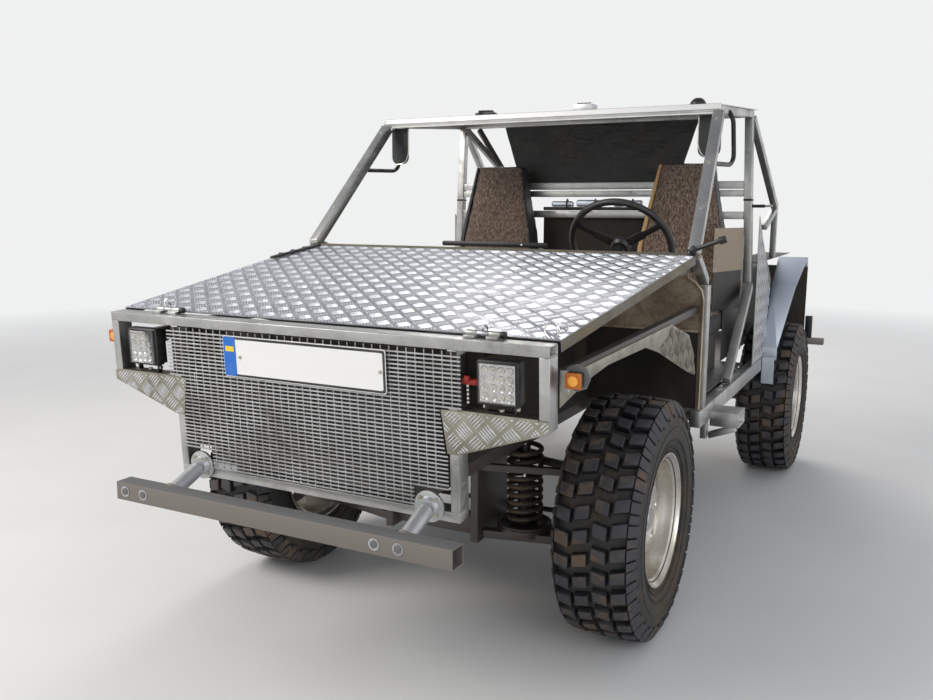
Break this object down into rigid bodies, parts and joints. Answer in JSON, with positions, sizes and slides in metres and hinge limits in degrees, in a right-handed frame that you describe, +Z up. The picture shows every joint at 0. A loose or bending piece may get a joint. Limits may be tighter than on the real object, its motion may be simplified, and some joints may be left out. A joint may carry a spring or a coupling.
{
  "type": "dune buggy",
  "caption": "Home-built open off-road buggy with a tread plate bonnet, box tube cage, bucket seats, rear tub and coarse lugged tyres",
  "frame": {"origin": "middle of the footprint on the ground, between the front bumper's and the rear bumper's outer faces", "axes": "+X to the vehicle's left, +Y to its rear, +Z up"},
  "size_m": [1.902, 3.497, 1.7447],
  "materials": {
    "raw_aluminium": "brushed",
    "tread_plate": "raised tread pattern",
    "grille_metal": "matt",
    "plate_white": "gloss",
    "bumper_steel": "scuffed",
    "lamp_black": "matt",
    "radiator_black": "matt",
    "chassis_black": "muddy",
    "engine_iron": "oily",
    "olive_sheet": "worn",
    "floor_sheet": "matt",
    "roof_sheet": "matt",
    "fender_sheet": "satin",
    "seat_cloth": "looped cloth",
    "dark_cloth": "matt",
    "tyre": "muddy rubber",
    "rim": "silver"
  },
  "bodies": {
    "chassis": {"bumper": "bumper_steel", "cab_frame": "raw_aluminium", "chassis_rails": "chassis_black", "drive_train": "engine_iron", "firewall": "olive_sheet", "floor": "floor_sheet", "front_arms": "chassis_black", "front_frame": "raw_aluminium", "front_shocks": "chassis_black", "front_springs": "chassis_black", "front_wings": "olive_sheet", "grille": "grille_metal", "lamp_gussets": "tread_plate", "lights": "lamp_black", "mirror_arm": "lamp_black", "number_plate": "plate_white", "radiator": "radiator_black", "rear_axle": "chassis_black", "rear_body": "floor_sheet", "rear_bumper": "bumper_steel", "rear_fenders": "fender_sheet", "rear_sheet": "dark_cloth", "rear_stays": "raw_aluminium", "rear_suspension": "chassis_black", "roof_panel": "roof_sheet", "seat_frames": "chassis_black", "seat_left": "seat_cloth", "seat_right": "seat_cloth", "side_panels": "tread_plate", "side_rails": "chassis_black", "sills": "raw_aluminium", "steering_column": "lamp_black"},
    "bonnet": {"bonnet": "tread_plate"},
    "left_knuckle": {"knuckle_left": "chassis_black"},
    "right_knuckle": {"knuckle_right": "chassis_black"},
    "track_rod": {"track_rod": "chassis_black"},
    "steering_wheel": {"steering_wheel": "lamp_black"},
    "front_left_wheel": {"tyre_front_left": "tyre", "wheel_front_left": "rim"},
    "front_right_wheel": {"tyre_front_right": "tyre", "wheel_front_right": "rim"},
    "rear_left_wheel": {"tyre_rear_left": "tyre", "wheel_rear_left": "rim"},
    "rear_right_wheel": {"tyre_rear_right": "tyre", "wheel_rear_right": "rim"}
  },
  "joints": [
    {"name": "bonnet_hinge", "type": "hinge", "parent": "chassis", "child": "bonnet", "pos_m": [0, -1.5445, 1.034], "axis": [1, 0, 0], "range_deg": [0, 70]},
    {"name": "left_steer", "type": "hinge", "parent": "chassis", "child": "left_knuckle", "pos_m": [0.552, -0.7955, 0.376], "axis": [0, 0, 1], "range_deg": [-27, 27]},
    {"name": "right_steer", "type": "hinge", "parent": "chassis", "child": "right_knuckle", "pos_m": [-0.552, -0.7955, 0.376], "axis": [0, 0, 1], "range_deg": [-27, 27]},
    {"name": "track_rod_slide", "type": "slide", "parent": "chassis", "child": "track_rod", "axis": [1, 0, 0], "range_m": [-0.07, 0.07]},
    {"name": "steering_wheel_turn", "type": "hinge", "parent": "chassis", "child": "steering_wheel", "pos_m": [0.39, -0.1515, 1.185], "axis": [0, 0.848, 0.5299], "range_deg": [-432, 432]},
    {"name": "front_left_spin", "type": "hinge", "parent": "left_knuckle", "child": "front_left_wheel", "pos_m": [0.646, -0.7955, 0.376], "axis": [1, 0, 0], "continuous": true},
    {"name": "front_right_spin", "type": "hinge", "parent": "right_knuckle", "child": "front_right_wheel", "pos_m": [-0.646, -0.7955, 0.376], "axis": [1, 0, 0], "continuous": true},
    {"name": "rear_left_spin", "type": "hinge", "parent": "chassis", "child": "rear_left_wheel", "pos_m": [0.765, 1.2995, 0.376], "axis": [1, 0, 0], "continuous": true},
    {"name": "rear_right_spin", "type": "hinge", "parent": "chassis", "child": "rear_right_wheel", "pos_m": [-0.765, 1.2995, 0.376], "axis": [1, 0, 0], "continuous": true}
  ],
  "couplings": [
    {"joint": "right_steer", "follows": "left_steer", "ratio": 1},
    {"joint": "track_rod_slide", "follows": "left_steer", "m_per_rad": -0.125},
    {"joint": "steering_wheel_turn", "follows": "left_steer", "ratio": 16}
  ]
}
